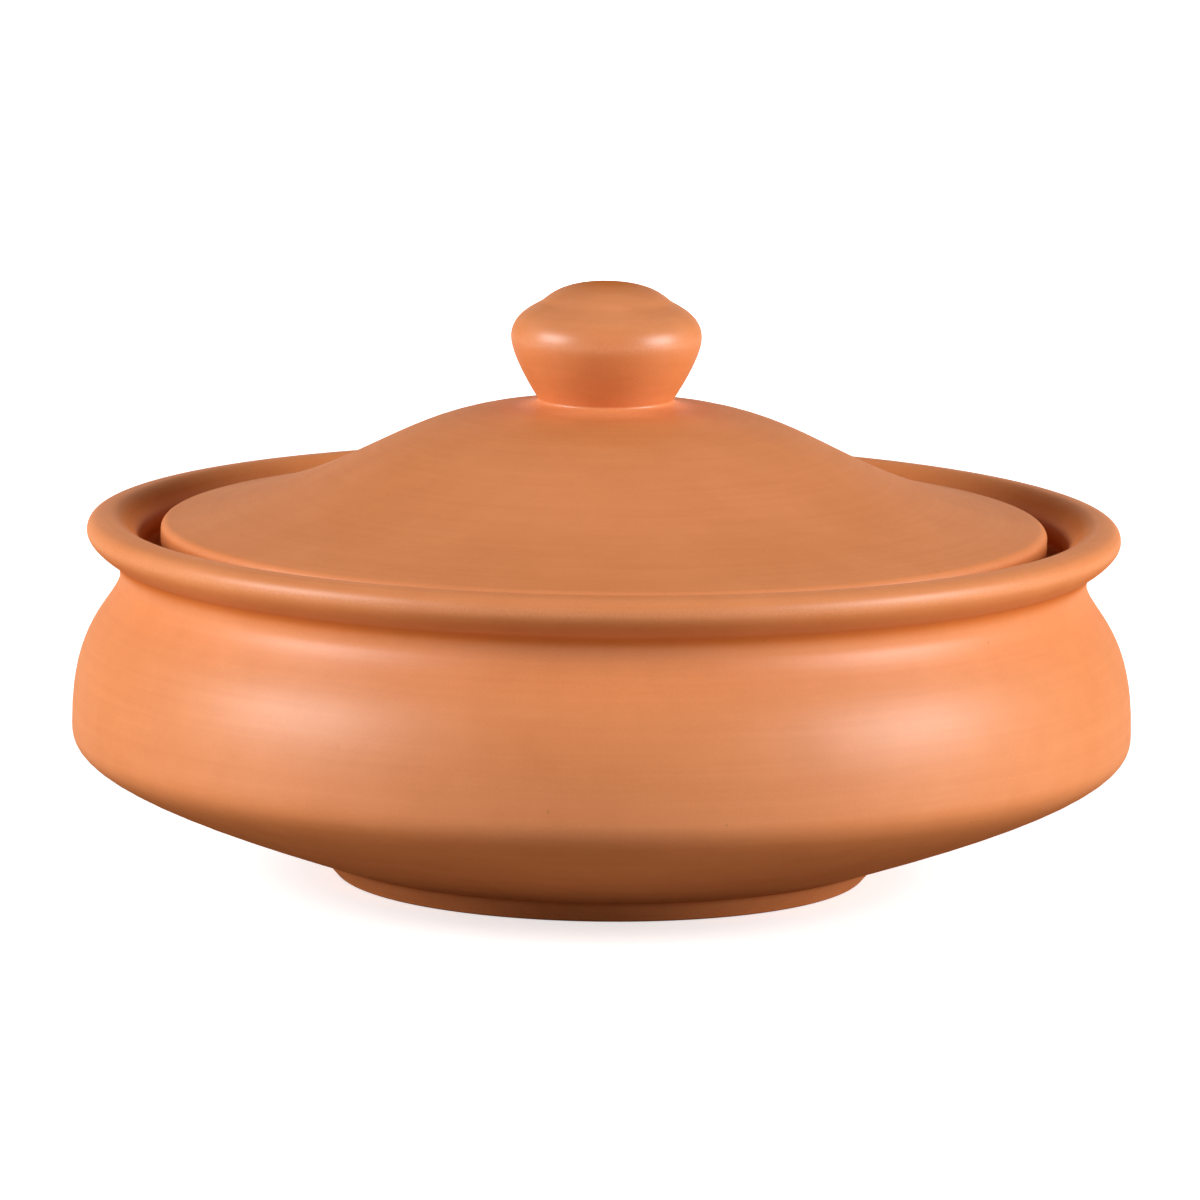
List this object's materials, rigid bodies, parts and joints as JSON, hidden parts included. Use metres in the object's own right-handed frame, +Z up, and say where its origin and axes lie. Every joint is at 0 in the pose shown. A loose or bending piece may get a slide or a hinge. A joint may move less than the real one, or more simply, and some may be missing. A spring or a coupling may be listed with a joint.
{
  "type": "lidded bowl",
  "caption": "Low round terracotta bowl with a full belly, flared rim and foot ring; its domed lid with a turned knob rests on a ledge inside the rim and lifts straight off.",
  "frame": {"origin": "centre of the foot ring's underside, on the table", "axes": "+Z up along the axis that every piece is turned about, -Y towards the viewer; the pot is round, so X and Y are free"},
  "size_m": [0.24, 0.24, 0.1353],
  "materials": {
    "terracotta": "matt unglazed terracotta with fine turning lines"
  },
  "bodies": {
    "bowl": {"bowl": "terracotta", "foot_ring": "terracotta"},
    "lid": {"lid": "terracotta", "knob": "terracotta"}
  },
  "joints": [
    {"name": "lid_lift", "type": "slide", "parent": "bowl", "child": "lid", "axis": [0, 0, 1], "range_m": [0, 0.12]}
  ]
}
